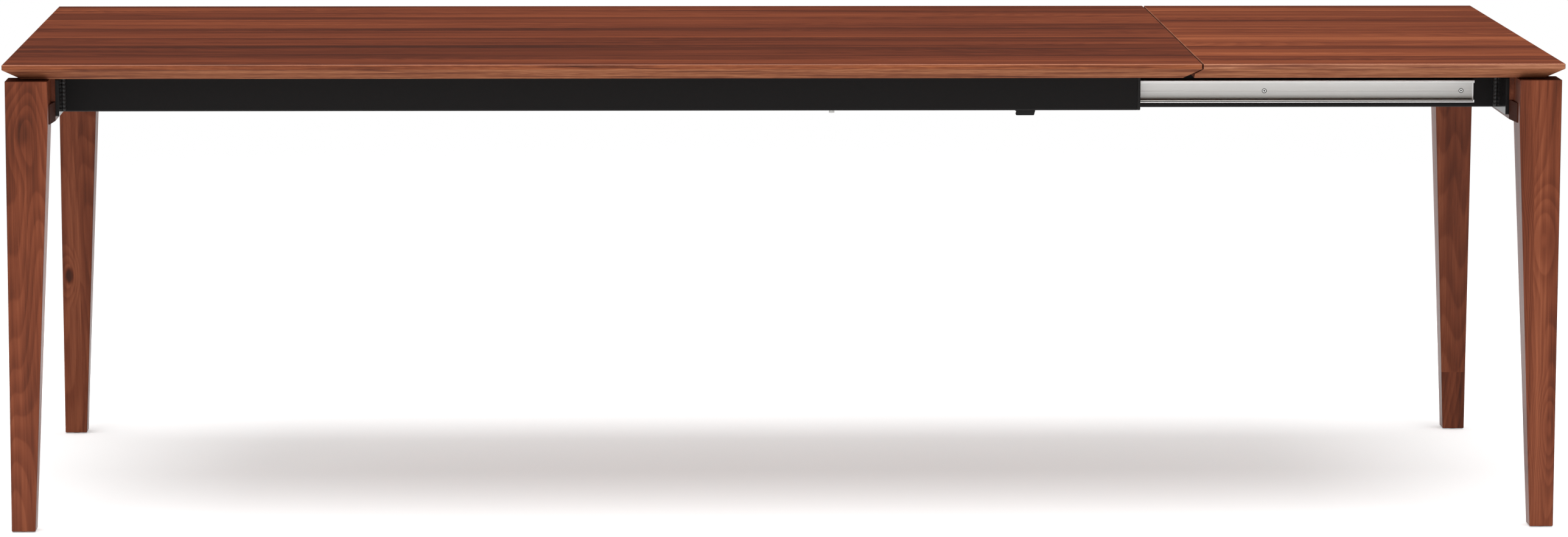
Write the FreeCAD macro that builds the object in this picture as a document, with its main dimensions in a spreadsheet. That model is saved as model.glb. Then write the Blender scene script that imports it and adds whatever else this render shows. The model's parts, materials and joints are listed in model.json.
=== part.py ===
import FreeCAD, Part
import os
import re
import Sketcher

# Extending dining table, drawn open with its loose leaf laid in.
# Millimetres. X runs along the table from the fixed end to the end that pulls out, -Y is the
# front, Z is up, and the origin is on the floor under the middle of the open table.

SIZES = {
    # Boards
    "top_length": 1900,
    "leaf_length": 578,
    "leaf_gap": 2,
    "table_width": 1000,
    "table_height": 750,
    "board_thickness": 25,
    "fascia_height": 8,
    "bevel_run": 28,
    "arris_radius": 1.5,
    "lip_run": 12,
    "lip_start_drop": 9,
    "lip_nose_height": 7.5,
    # Legs and their glides
    "leg_inset": 4,
    "leg_width": 67,
    "leg_depth": 64,
    "foot_width": 38,
    "foot_depth": 38,
    "leg_rounding": 2.5,
    "foot_rounding": 1.5,
    "leg_gap": 2,
    "glide_radius": 11,
    "glide_height": 1.5,
    "glide_seat": 3.5,
    # Wooden end rails
    "end_rail_height": 68,
    "end_rail_thickness": 30,
    "end_rail_proud": 6,
    "end_rail_splay": 8,
    "end_rail_gap": 4,
    "tenon_thickness": 12,
    "tenon_height": 40,
    "tenon_length": 40,
    "haunch_height": 31,
    "haunch_setback": 20,
    "haunch_tip": 1.5,
    "wood_clearance": 0.1,
    # Steel end plates, their bolts and welds
    "plate_thickness": 6,
    "plate_width": 160,
    "plate_height": 60,
    "plate_gap": 5,
    "plate_rounding": 2,
    "plate_bolt_margin": 28,
    "plate_bolt_radius": 4,
    "plate_bolt_length": 26,
    "plate_bolt_head_radius": 7.5,
    "weld_leg": 5,
    # Steel tubes
    "rail_height": 60,
    "rail_width": 20,
    "rail_wall": 2,
    "rail_rounding": 3,
    "outer_rail_inset": 136,
    "slide_space": 15,
    "inner_rail_length": 1107,
    "bumper_gap": 2,
    "cap_flange": 5.5,
    "cap_spigot": 24,
    "cap_groove": 0.8,
    "plug_flange": 2.5,
    "plug_clearance": 0.2,
    "cross_tube_place": 300,
    "cross_tube_height": 40,
    # Fixings of the main top
    "spacer_height": 4,
    "spacer_radius": 9,
    "top_screw_margin": 90,
    "top_screw_spacing": 500,
    "top_screw_radius": 3,
    "top_screw_bite": 16,
    "top_screw_head_radius": 5.5,
    "top_screw_head_height": 3.5,
    "access_radius": 7,
    "hole_clearance": 0.2,
    # Aluminium runners
    "runner_height": 36,
    "runner_depth": 14.5,
    "runner_flange": 2.2,
    "runner_web": 3,
    "runner_lip": 2,
    "runner_lip_thickness": 1.6,
    "runner_groove": 0.6,
    "runner_groove_depth": 1,
    "runner_crease": 0.15,
    "runner_rise": 27,
    "runner_setback": 38,
    "runner_tail_gap": 6,
    "runner_screw_margin": 20,
    "runner_screw_spacing": 320,
    "runner_screw_radius": 2.1,
    "runner_screw_head_radius": 3.3,
    "runner_screw_length": 9,
    "runner_screw_recess": 0.6,
    "socket_radius": 1.7,
    "socket_depth": 1.6,
    "stop_length": 12,
    "stop_clearance": 0.3,
    "insert_travel": 25,
    # Guide rollers
    "roller_clearance": 0.4,
    "roller_width": 7,
    "roller_gap": 0.5,
    "roller_margin": 40,
    "axle_radius": 4,
    "axle_clearance": 0.05,
    "axle_spigot_radius": 3,
    "axle_head_radius": 6.5,
    "axle_head_height": 1.2,
    "nut_radius": 5.8,
    "nut_height": 4,
    # Tail bar across the inner rails
    "tail_bar_width": 40,
    "tail_bar_thickness": 4,
    "tail_bolt_radius": 2.5,
    "tail_bolt_head_radius": 4.5,
    "tail_bolt_head_height": 5,
    "tail_bolt_length": 12,
    # Strips under the leaf
    "strip_height": 2.7,
    "strip_clearance": 0.3,
    "strip_width": 18,
    "strip_margin": 30,
    "strip_screw_margin": 40,
    "strip_screw_radius": 1.6,
    "strip_screw_head_radius": 3.2,
    "strip_screw_length": 14,
    # Lock lever
    "lock_setback": 269,
    "lock_clearance": 0.4,
    "cam_radius": 5,
    "cam_offset": 3,
    "cam_turn": 40,
    "lever_width": 30,
    "lever_drop": 12,
    "lever_shoulder": 4,
    "lever_slant": 2,
    "lever_neck": 8,
    "lever_thickness": 9,
    "lever_rounding": 1.8,
    "lever_gap": 0.5,
    "bracket_thickness": 2.5,
    "bracket_reach": 22,
    "bracket_drop": 3,
    "bracket_cut": 6,
    "pivot_radius": 2,
    "pivot_head_radius": 4,
    "pivot_head_height": 1.2,
    "bracket_screw_radius": 1.8,
    "bracket_screw_head_radius": 3.2,
    "bracket_screw_length": 7,
}

# Places, worked out from the sizes
OVERALL = "(top_length + leaf_gap + leaf_length)"
LEFT = f"(-{OVERALL} / 2)"
RIGHT = f"({OVERALL} / 2)"
FRONT = "(-table_width / 2)"
UNDERSIDE = "(table_height - board_thickness)"
TOP_END = f"({LEFT} + top_length)"
LEAF_START = f"({TOP_END} + leaf_gap)"
TRAVEL = "(leaf_length + leaf_gap)"

LEG_OUTER_X = f"({LEFT} + leg_inset)"
LEG_INNER_X = f"({LEG_OUTER_X} + leg_width)"
LEG_FRONT_Y = f"({FRONT} + leg_inset)"
LEG_BACK_Y = f"({LEG_FRONT_Y} + leg_depth)"
HAUNCH_Y = f"({LEG_FRONT_Y} + haunch_setback)"
END_RAIL_BOTTOM = f"({UNDERSIDE} - end_rail_gap - end_rail_height)"

PLATE_BACK = "(leg_inset + leg_width + end_rail_proud)"
PLATE_FACE = f"({PLATE_BACK} + plate_thickness)"
PLATE_Y = f"({LEG_BACK_Y} + end_rail_splay)"
PLATE_TOP = f"({UNDERSIDE} - plate_gap)"
PLATE_MIDDLE = f"({PLATE_TOP} - plate_height / 2)"

OUTER_Y = f"({FRONT} + outer_rail_inset)"
OUTER_BACK_Y = f"({OUTER_Y} + rail_width)"
OUTER_TOP = f"({UNDERSIDE} - spacer_height)"
OUTER_BOTTOM = f"({OUTER_TOP} - rail_height)"
OUTER_START = f"({LEFT} + {PLATE_FACE})"
CAP_END = f"({TOP_END} - {PLATE_FACE} - bumper_gap)"
OUTER_END = f"({CAP_END} - cap_flange)"

INNER_Y = f"({OUTER_BACK_Y} + slide_space)"
INNER_BACK_Y = f"({INNER_Y} + rail_width)"
INNER_TOP = f"({UNDERSIDE} - strip_height - strip_clearance)"
INNER_BOTTOM = f"({INNER_TOP} - rail_height)"
INNER_END = f"({RIGHT} - {PLATE_FACE})"
INNER_TAIL = f"({INNER_END} - inner_rail_length)"
TAIL_BAR_X = f"({INNER_TAIL} + tail_bar_width / 2 + plug_flange + runner_tail_gap)"

RUNNER_START = f"({INNER_TAIL} + runner_tail_gap)"
RUNNER_END = f"({INNER_END} - runner_setback)"
RUNNER_Y = f"({INNER_Y} - runner_depth)"
RUNNER_WEB_Y = f"({INNER_Y} - runner_web)"
RUNNER_Z = f"({INNER_BOTTOM} + runner_rise)"
ROLLER_RADIUS = "(runner_height / 2 - runner_flange - roller_clearance)"
ROLLER_Y = f"({RUNNER_Y} + runner_lip_thickness + roller_gap)"
TAIL_ROLLER_X = f"({RUNNER_START} + stop_length + insert_travel + roller_gap + {ROLLER_RADIUS})"
END_ROLLER_X = f"({RUNNER_END} - {TRAVEL} - roller_margin)"

LOCK_X = f"({TOP_END} - lock_setback)"
PIVOT_Z = f"({RUNNER_Z} - runner_height / 2 - lock_clearance - cam_radius - cam_offset)"
LEVER_Y = f"({OUTER_BACK_Y} + bracket_thickness + lever_gap)"

# A primitive's own Z axis, turned towards a direction
TURNS = {
    "+x": FreeCAD.Rotation(FreeCAD.Vector(0, 1, 0), 90),
    "-x": FreeCAD.Rotation(FreeCAD.Vector(0, 1, 0), -90),
    "+y": FreeCAD.Rotation(FreeCAD.Vector(1, 0, 0), -90),
    "-y": FreeCAD.Rotation(FreeCAD.Vector(1, 0, 0), 90),
    "+z": FreeCAD.Rotation(),
    "-z": FreeCAD.Rotation(FreeCAD.Vector(1, 0, 0), 180),
}

doc = FreeCAD.newDocument("extending_table")
sheet = doc.addObject("Spreadsheet::Sheet", "Sizes")
for row, (alias, size) in enumerate(SIZES.items(), start=1):
    sheet.set(f"A{row}", alias.replace("_", " "))
    sheet.set(f"B{row}", str(size))
    sheet.setAlias(f"B{row}", alias)
doc.recompute()

nodes = []


def keep(item, label):
    """Name a finished sub-part and put it on the list that is written out."""
    item.Label = label
    nodes.append(item)
    return item


def cells(formula):
    """Turn the size names in a formula into references to the sheet."""
    return re.sub(r"[a-z]+_[a-z_]+", lambda word: "Sizes." + word.group(), formula)


def number(formula):
    """Today's value of a formula."""
    return float(sheet.evalExpression(cells(formula)))


def bind(item, prop, formula):
    item.setExpression(prop, cells(formula))


def place(item, point):
    for axis, formula in zip("xyz", point):
        bind(item, f"Placement.Base.{axis}", formula)


# Primitives and booleans

def box(size, corner):
    item = doc.addObject("Part::Box", "box")
    for prop, formula in zip(("Length", "Width", "Height"), size):
        bind(item, prop, formula)
    place(item, corner)
    return item


def rod(radius, length, start, towards):
    item = doc.addObject("Part::Cylinder", "rod")
    bind(item, "Radius", radius)
    bind(item, "Height", length)
    item.Placement = FreeCAD.Placement(FreeCAD.Vector(), TURNS[towards])
    place(item, start)
    return item


def cone(start_radius, end_radius, length, start, towards):
    item = doc.addObject("Part::Cone", "cone")
    bind(item, "Radius1", start_radius)
    bind(item, "Radius2", end_radius)
    bind(item, "Height", length)
    item.Placement = FreeCAD.Placement(FreeCAD.Vector(), TURNS[towards])
    place(item, start)
    return item


def hexagon(radius, length, start, towards):
    item = doc.addObject("Part::Prism", "hexagon")
    item.Polygon = 6
    bind(item, "Circumradius", radius)
    bind(item, "Height", length)
    item.Placement = FreeCAD.Placement(FreeCAD.Vector(), TURNS[towards])
    place(item, start)
    return item


def countersunk_screw(face, inwards, head_radius, radius, length):
    head = cone(head_radius, radius, f"{head_radius} - {radius}", face, inwards)
    shank = rod(radius, length, face, inwards)
    socket = hexagon(f"{radius} * 0.7", radius, face, inwards)
    return cut(fuse(head, shank), socket)


def countersink(face, inwards, head_radius, radius, length):
    """What a countersunk screw takes out of the piece that it holds."""
    head = cone(head_radius, radius, f"{head_radius} - {radius}", face, inwards)
    return fuse(head, rod(radius, length, face, inwards))


def fuse(*items):
    item = doc.addObject("Part::MultiFuse", "fuse")
    item.Shapes = list(items)
    item.Refine = True
    return item


def cut(base, *tools):
    item = doc.addObject("Part::Cut", "cut")
    item.Base = base
    item.Tool = tools[0] if len(tools) == 1 else group(*tools)
    return item


def group(*items):
    item = doc.addObject("Part::Compound", "group")
    item.Links = list(items)
    return item


def mirror(source, normal):
    item = doc.addObject("Part::Mirroring", "mirror")
    item.Source = source
    item.Normal = normal
    return item


def to_rear(source):
    return mirror(source, (0, 1, 0))


def to_right(source):
    return mirror(source, (1, 0, 0))


# Bodies and sketches

def new_body():
    return doc.addObject("PartDesign::Body", "body")


def new_sketch(body, role, offset="0"):
    """An empty sketch on one of the body's own planes, moved along the plane's normal."""
    sketch = body.newObject("Sketcher::SketchObject", "sketch")
    plane = next(item for item in body.Origin.OriginFeatures if item.Role == role)
    sketch.AttachmentSupport = (plane, [""])
    sketch.MapMode = "FlatFace"
    bind(sketch, "AttachmentOffset.Base.z", offset)
    return sketch


def constrain(sketch, kind, geometry, vertex, formula):
    """Hold a point of the sketch at a distance from the sketch's origin."""
    rule = Sketcher.Constraint(kind, -1, 1, geometry, vertex, number(formula))
    index = sketch.addConstraint(rule)
    bind(sketch, f"Constraints[{index}]", formula)


def polygon(sketch, points):
    first = sketch.GeometryCount
    count = len(points)
    corners = [FreeCAD.Vector(number(across), number(up), 0) for across, up in points]
    for step in range(count):
        sketch.addGeometry(Part.LineSegment(corners[step], corners[(step + 1) % count]))
    for step in range(count):
        following = first + (step + 1) % count
        sketch.addConstraint(Sketcher.Constraint("Coincident", first + step, 2, following, 1))
    for step, (across, up) in enumerate(points):
        constrain(sketch, "DistanceX", first + step, 1, across)
        constrain(sketch, "DistanceY", first + step, 1, up)


def rectangle(sketch, low, high):
    polygon(sketch, [low, (high[0], low[1]), high, (low[0], high[1])])


def rounded(sketch, low, high, radius):
    """A rectangle with four equal round corners."""
    first = sketch.GeometryCount
    left, bottom = number(low[0]), number(low[1])
    right, top = number(high[0]), number(high[1])
    bend = number(radius)
    ends = [
        ((left + bend, bottom), (right - bend, bottom)),
        ((right, bottom + bend), (right, top - bend)),
        ((right - bend, top), (left + bend, top)),
        ((left, top - bend), (left, bottom + bend)),
    ]
    centres = [
        (right - bend, bottom + bend),
        (right - bend, top - bend),
        (left + bend, top - bend),
        (left + bend, bottom + bend),
    ]
    quarter = 3.141592653589793 / 2
    up = FreeCAD.Vector(0, 0, 1)
    for step in range(4):
        start, end = (FreeCAD.Vector(*point, 0) for point in ends[step])
        sketch.addGeometry(Part.LineSegment(start, end))
        circle = Part.Circle(FreeCAD.Vector(*centres[step], 0), up, bend)
        sketch.addGeometry(Part.ArcOfCircle(circle, (step - 1) * quarter, step * quarter))
    for step in range(4):
        line = first + 2 * step
        arc = line + 1
        following = first + (2 * step + 2) % 8
        sketch.addConstraint(Sketcher.Constraint("Tangent", line, 2, arc, 1))
        sketch.addConstraint(Sketcher.Constraint("Tangent", arc, 2, following, 1))
        sketch.addConstraint(Sketcher.Constraint(("Horizontal", "Vertical")[step % 2], line))
        if step:
            sketch.addConstraint(Sketcher.Constraint("Equal", first + 1, arc))
    index = sketch.addConstraint(Sketcher.Constraint("Radius", first + 1, bend))
    bind(sketch, f"Constraints[{index}]", radius)
    constrain(sketch, "DistanceY", first, 1, low[1])
    constrain(sketch, "DistanceX", first + 2, 1, high[0])
    constrain(sketch, "DistanceY", first + 4, 1, high[1])
    constrain(sketch, "DistanceX", first + 6, 1, low[0])


def circles(sketch, centres, radius):
    for across, up in centres:
        middle = FreeCAD.Vector(number(across), number(up), 0)
        ring = sketch.addGeometry(Part.Circle(middle, FreeCAD.Vector(0, 0, 1), number(radius)))
        constrain(sketch, "DistanceX", ring, 3, across)
        constrain(sketch, "DistanceY", ring, 3, up)
        index = sketch.addConstraint(Sketcher.Constraint("Radius", ring, number(radius)))
        bind(sketch, f"Constraints[{index}]", radius)


def pad(body, sketch, length, backwards=False):
    feature = body.newObject("PartDesign::Pad", "pad")
    feature.Profile = sketch
    feature.Reversed = backwards
    bind(feature, "Length", length)
    doc.recompute()
    return feature


def pocket(body, sketch, length):
    """Cut against the sketch plane's normal, and make sure that something came away."""
    before = body.Shape.Volume
    feature = body.newObject("PartDesign::Pocket", "pocket")
    feature.Profile = sketch
    bind(feature, "Length", length)
    doc.recompute()
    if not body.Shape.Volume < before:
        raise RuntimeError(f"a pocket of {body.Label} cuts nothing")
    return feature


def loft(body, start, end):
    feature = body.newObject("PartDesign::AdditiveLoft", "loft")
    feature.Profile = start
    feature.Sections = [end]
    feature.Ruled = True
    doc.recompute()
    return feature


def ease(body, kind, prop, size, chosen):
    """Round or chamfer the chosen edges of the body as it stands."""
    base = body.Tip
    names = [f"Edge{place}" for place, edge in enumerate(base.Shape.Edges, start=1) if chosen(edge)]
    feature = body.newObject(kind, "ease")
    feature.Base = (base, names)
    bind(feature, prop, size)
    doc.recompute()
    return feature


# Boards: a thin square edge over a wide under-bevel

def board(label, outline):
    """A board with this lengthwise outline, bevelled along its front and back edges too."""
    body = new_body()
    bind(body, "Placement.Base.y", "table_width / 2")
    bind(body, "Placement.Base.z", "table_height")
    profile = new_sketch(body, "XZ_Plane")
    polygon(profile, outline)
    pad(body, profile, "table_width")
    bevels = new_sketch(body, "YZ_Plane", f"{RIGHT} + bevel_run")
    for edge, inward in (("-table_width", "+"), ("0", "-")):
        polygon(bevels, [
            (edge, "-fascia_height"),
            (f"{edge} {inward} bevel_run", "-board_thickness"),
            (edge, "-board_thickness"),
        ])
    pocket(body, bevels, f"{OVERALL} + 2 * bevel_run")
    lowest = -number("fascia_height") - 0.01
    ease(body, "PartDesign::Fillet", "Radius", "arris_radius",
         lambda edge: all(vertex.Z > lowest for vertex in edge.Vertexes))
    return keep(body, label)


main_top = board("main_top", [
    (LEFT, "0"),
    (TOP_END, "0"),
    (TOP_END, "-fascia_height"),
    (f"{TOP_END} - bevel_run", "-board_thickness"),
    (f"{LEFT} + bevel_run", "-board_thickness"),
    (LEFT, "-fascia_height"),
])
LIP_END = f"({LEAF_START} - lip_run)"
extension_leaf = board("extension_leaf", [
    (LEAF_START, "0"),
    (RIGHT, "0"),
    (RIGHT, "-fascia_height"),
    (f"{RIGHT} - bevel_run", "-board_thickness"),
    (LIP_END, "-board_thickness"),
    (LIP_END, "-board_thickness + lip_nose_height"),
    (LEAF_START, "-lip_start_drop"),
])


# Legs: square heads that take the end rail, tapered on the two inner faces below it

TENON_X = f"({LEFT} + {PLATE_BACK} - end_rail_thickness / 2)"
TENON_TOP = f"({END_RAIL_BOTTOM} + end_rail_height / 2 + tenon_height / 2)"


def leg():
    body = new_body()
    corner = (LEG_OUTER_X, LEG_FRONT_Y)
    foot = new_sketch(body, "XY_Plane", "glide_height")
    foot_end = (f"{LEG_OUTER_X} + foot_width", f"{LEG_FRONT_Y} + foot_depth")
    rounded(foot, corner, foot_end, "leg_rounding")
    knee = new_sketch(body, "XY_Plane", END_RAIL_BOTTOM)
    rounded(knee, corner, (LEG_INNER_X, LEG_BACK_Y), "leg_rounding")
    loft(body, foot, knee)
    head = new_sketch(body, "XY_Plane", END_RAIL_BOTTOM)
    rounded(head, corner, (LEG_INNER_X, LEG_BACK_Y), "leg_rounding")
    pad(body, head, "end_rail_gap + end_rail_height - leg_gap")
    sole = number("glide_height") + 0.01
    ease(body, "PartDesign::Fillet", "Radius", "foot_rounding",
         lambda edge: all(vertex.Z < sole for vertex in edge.Vertexes))
    mortise = new_sketch(body, "XY_Plane", f"{TENON_TOP} + wood_clearance")
    half = "(tenon_thickness / 2 + wood_clearance)"
    rectangle(mortise,
              (f"{TENON_X} - {half}", f"{LEG_BACK_Y} - tenon_length - wood_clearance"),
              (f"{TENON_X} + {half}", f"{LEG_BACK_Y} + leg_rounding"))
    pocket(body, mortise, "tenon_height + 2 * wood_clearance")
    seat = new_sketch(body, "XY_Plane", "glide_height + glide_seat")
    circles(seat, [(GLIDE_X, GLIDE_Y)], "glide_radius")
    pocket(body, seat, "glide_seat")
    return body


GLIDE_X = f"({LEG_OUTER_X} + foot_width / 2)"
GLIDE_Y = f"({LEG_FRONT_Y} + foot_depth / 2)"
left_front_leg = keep(leg(), "left_front_leg")
left_rear_leg = keep(to_rear(left_front_leg), "left_rear_leg")
keep(to_right(left_front_leg), "right_front_leg")
keep(to_right(left_rear_leg), "right_rear_leg")

front_glide = rod("glide_radius", "glide_height + glide_seat", (GLIDE_X, GLIDE_Y, "0"), "+z")
left_glides = keep(group(front_glide, to_rear(front_glide)), "left_glides")
keep(to_right(left_glides), "right_glides")


# Wooden end rail: stands a little proud of the legs, with splayed shoulders and a tenon each end

PLATE_BOLTS_Y = (
    f"({PLATE_Y} + plate_bolt_margin)",
    f"({PLATE_Y} + plate_width - plate_bolt_margin)",
)


def end_rail():
    """The lower part of each end runs on as a haunch, a wedge beside the leg."""
    body = new_body()
    outer = f"{LEFT} + {PLATE_BACK} - end_rail_thickness"
    inner = f"{LEFT} + {PLATE_BACK}"
    plan = new_sketch(body, "XY_Plane", END_RAIL_BOTTOM)
    polygon(plan, [
        (outer, LEG_BACK_Y),
        (LEG_INNER_X, LEG_BACK_Y),
        (inner, PLATE_Y),
        (inner, f"-{PLATE_Y}"),
        (LEG_INNER_X, f"-{LEG_BACK_Y}"),
        (outer, f"-{LEG_BACK_Y}"),
    ])
    pad(body, plan, "end_rail_height")
    for side in ("", "-"):
        haunch = new_sketch(body, "XY_Plane", END_RAIL_BOTTOM)
        polygon(haunch, [
            (LEG_INNER_X, f"{side}{LEG_BACK_Y}"),
            (LEG_INNER_X, f"{side}{HAUNCH_Y}"),
            (f"{LEG_INNER_X} + haunch_tip", f"{side}{HAUNCH_Y}"),
            (inner, f"{side}{PLATE_Y}"),
        ])
        pad(body, haunch, "haunch_height")
    tenons = new_sketch(body, "XY_Plane", f"{TENON_TOP} - tenon_height")
    rectangle(tenons,
              (f"{TENON_X} - tenon_thickness / 2", f"{LEG_BACK_Y} - tenon_length"),
              (f"{TENON_X} + tenon_thickness / 2", f"-{LEG_BACK_Y} + tenon_length"))
    pad(body, tenons, "tenon_height")
    bores = new_sketch(body, "YZ_Plane", inner)
    centres = [(f"{side}{along}", PLATE_MIDDLE) for along in PLATE_BOLTS_Y for side in ("", "-")]
    circles(bores, centres, "plate_bolt_radius")
    pocket(body, bores, "plate_bolt_length - plate_thickness")
    return body


left_end_rail = keep(end_rail(), "left_end_rail")
keep(to_right(left_end_rail), "right_end_rail")


# Steel end plates and the sunk bolts that hold them to the end rail

def end_plate():
    body = new_body()
    face = new_sketch(body, "YZ_Plane", f"{LEFT} + {PLATE_BACK}")
    rounded(face,
            (PLATE_Y, f"{PLATE_TOP} - plate_height"),
            (f"{PLATE_Y} + plate_width", PLATE_TOP),
            "plate_rounding")
    pad(body, face, "plate_thickness")
    return body


bolt_sizes = ("plate_bolt_head_radius", "plate_bolt_radius", "plate_bolt_length")
bolt_faces = [(OUTER_START, along, PLATE_MIDDLE) for along in PLATE_BOLTS_Y]
bolt_sinks = [countersink(face, "-x", *bolt_sizes) for face in bolt_faces]
left_front_plate = keep(cut(end_plate(), *bolt_sinks), "left_front_plate")
left_rear_plate = keep(to_rear(left_front_plate), "left_rear_plate")
keep(to_right(left_front_plate), "right_front_plate")
keep(to_right(left_rear_plate), "right_rear_plate")

front_bolts = group(*[countersunk_screw(face, "-x", *bolt_sizes) for face in bolt_faces])
left_plate_bolts = keep(group(front_bolts, to_rear(front_bolts)), "left_plate_bolts")
keep(to_right(left_plate_bolts), "right_plate_bolts")


# Steel tubes

def tube(start, end, low, high):
    """A rectangular tube along X with round outer and inner corners."""
    body = new_body()
    section = new_sketch(body, "YZ_Plane", start)
    rounded(section, low, high, "rail_rounding")
    inner_low = [f"{formula} + rail_wall" for formula in low]
    inner_high = [f"{formula} - rail_wall" for formula in high]
    rounded(section, inner_low, inner_high, "rail_rounding - rail_wall / 2")
    pad(body, section, f"{end} - {start}")
    return body


def tube_end(face, end, low, high, flange):
    """A plastic end for a tube: a flange as large as the tube, and a spigot inside it."""
    body = new_body()
    outward = number(end) > number(face)
    plate = new_sketch(body, "YZ_Plane", face)
    rounded(plate, low, high, "rail_rounding")
    pad(body, plate, flange, not outward)
    planes = (number(face), number(end))
    ease(body, "PartDesign::Chamfer", "Size", "cap_groove",
         lambda edge: any(all(abs(vertex.X - at) < 0.01 for vertex in edge.Vertexes) for at in planes))
    spigot = new_sketch(body, "YZ_Plane", face)
    rounded(spigot,
            [f"{formula} + rail_wall + plug_clearance" for formula in low],
            [f"{formula} - rail_wall - plug_clearance" for formula in high],
            "rail_rounding - rail_wall / 2")
    pad(body, spigot, "cap_spigot", outward)
    return body


OUTER_MIDDLE_Y = f"({OUTER_Y} + rail_width / 2)"
INNER_MIDDLE_Y = f"({INNER_Y} + rail_width / 2)"
outer_low, outer_high = (OUTER_Y, OUTER_BOTTOM), (OUTER_BACK_Y, OUTER_TOP)
inner_low, inner_high = (INNER_Y, INNER_BOTTOM), (INNER_BACK_Y, INNER_TOP)

screw_run = number(f"{OUTER_END} - {OUTER_START} - cap_spigot - 2 * top_screw_margin")
top_screw_count = int(screw_run // number("top_screw_spacing")) + 1
TOP_SCREWS_X = [
    f"({OUTER_START} + top_screw_margin + {step} * top_screw_spacing)"
    for step in range(top_screw_count)
]
ROLLERS_X = {"tail": TAIL_ROLLER_X, "end": END_ROLLER_X}

drilled_rail = tube(OUTER_START, OUTER_END, outer_low, outer_high)
top_screw_centres = [(along, OUTER_MIDDLE_Y) for along in TOP_SCREWS_X]
access = new_sketch(drilled_rail, "XY_Plane", f"{OUTER_BOTTOM} + 2 * rail_wall")
circles(access, top_screw_centres, "access_radius")
pocket(drilled_rail, access, "3 * rail_wall")
screw_holes = new_sketch(drilled_rail, "XY_Plane", f"{OUTER_TOP} + rail_wall")
circles(screw_holes, top_screw_centres, "top_screw_radius + hole_clearance")
pocket(drilled_rail, screw_holes, "3 * rail_wall")
axle_holes = new_sketch(drilled_rail, "XZ_Plane", f"2 * rail_wall - {OUTER_BACK_Y}")
axle_centres = [(along, RUNNER_Z) for along in ROLLERS_X.values()]
circles(axle_holes, axle_centres, "axle_spigot_radius + axle_clearance")
pocket(drilled_rail, axle_holes, "3 * rail_wall")

BRACKET_SCREWS_X = (f"({LOCK_X} - bracket_reach + bracket_cut)", f"({LOCK_X} + bracket_cut)")
BRACKET_TOP = f"({RUNNER_Z} - runner_height / 2 - lock_clearance)"
BRACKET_SCREW_Z = f"(({BRACKET_TOP} + {OUTER_BOTTOM}) / 2)"
BRACKET_HOLE_Y = f"({OUTER_BACK_Y} - 1.5 * rail_wall)"
bracket_holes = [
    rod("bracket_screw_radius", "2 * rail_wall", (along, BRACKET_HOLE_Y, BRACKET_SCREW_Z), "+y")
    for along in BRACKET_SCREWS_X
]
keep(cut(drilled_rail, *bracket_holes), "front_outer_rail")
keep(to_rear(drilled_rail), "rear_outer_rail")
rail_cap = tube_end(OUTER_END, CAP_END, outer_low, outer_high, "cap_flange")
front_rail_cap = keep(rail_cap, "front_rail_cap")
keep(to_rear(front_rail_cap), "rear_rail_cap")

inner_rail = tube(INNER_TAIL, INNER_END, inner_low, inner_high)
runner_length = number(f"{RUNNER_END} - {RUNNER_START} - stop_length - 2 * runner_screw_margin")
runner_screw_count = int(runner_length // number("runner_screw_spacing")) + 1
RUNNER_SCREWS_X = [
    f"({RUNNER_END} - runner_screw_margin - {step} * runner_screw_spacing)"
    for step in range(runner_screw_count)
]
runner_taps = new_sketch(inner_rail, "XZ_Plane", f"rail_wall - {INNER_Y}")
circles(runner_taps, [(along, RUNNER_Z) for along in RUNNER_SCREWS_X], "runner_screw_radius")
pocket(inner_rail, runner_taps, "3 * rail_wall")
tail_taps = new_sketch(inner_rail, "XY_Plane", f"{INNER_BOTTOM} + 2 * rail_wall")
circles(tail_taps, [(TAIL_BAR_X, INNER_MIDDLE_Y)], "tail_bolt_radius")
pocket(inner_rail, tail_taps, "3 * rail_wall")
front_inner_rail = keep(inner_rail, "front_inner_rail")
keep(to_rear(front_inner_rail), "rear_inner_rail")
PLUG_END = f"({INNER_TAIL} - plug_flange)"
inner_plug = tube_end(INNER_TAIL, PLUG_END, inner_low, inner_high, "plug_flange")
front_inner_plug = keep(inner_plug, "front_inner_plug")
keep(to_rear(front_inner_plug), "rear_inner_plug")


def cross_tube():
    """A tube from one outer rail to the other."""
    body = new_body()
    middle_x = f"{LEFT} + cross_tube_place"
    middle_z = f"({OUTER_BOTTOM} + rail_height / 2)"
    low = (f"{middle_x} - rail_width / 2", f"{middle_z} - cross_tube_height / 2")
    high = (f"{middle_x} + rail_width / 2", f"{middle_z} + cross_tube_height / 2")
    section = new_sketch(body, "XZ_Plane", f"-{OUTER_BACK_Y}")
    rounded(section, low, high, "rail_rounding")
    rounded(section,
            [f"{formula} + rail_wall" for formula in low],
            [f"{formula} - rail_wall" for formula in high],
            "rail_rounding - rail_wall / 2")
    pad(body, section, f"-2 * {OUTER_BACK_Y}", True)
    return body


keep(cross_tube(), "fixed_cross_tube")


# Weld beads: upright fillets in the corners between a rail's two sides and its plate

def weld(corner_x, corner_y, towards_y, low, height):
    body = new_body()
    section = new_sketch(body, "XY_Plane", low)
    polygon(section, [
        (corner_x, corner_y),
        (f"{corner_x} + weld_leg", corner_y),
        (corner_x, f"{corner_y} {towards_y} weld_leg"),
    ])
    pad(body, section, height)
    return body


def welds(faces, bottom):
    """Both beads of the front rail at the left plate, and their copies on the rear rail."""
    low = f"{bottom} + rail_rounding"
    height = "rail_height - 2 * rail_rounding"
    beads = group(*[weld(OUTER_START, face, towards, low, height) for face, towards in faces])
    return group(beads, to_rear(beads))


keep(welds([(OUTER_Y, "-"), (OUTER_BACK_Y, "+")], OUTER_BOTTOM), "left_welds")
keep(to_right(welds([(INNER_Y, "-"), (INNER_BACK_Y, "+")], INNER_BOTTOM)), "right_welds")


# Pads and screws between the outer rails and the main top

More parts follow.
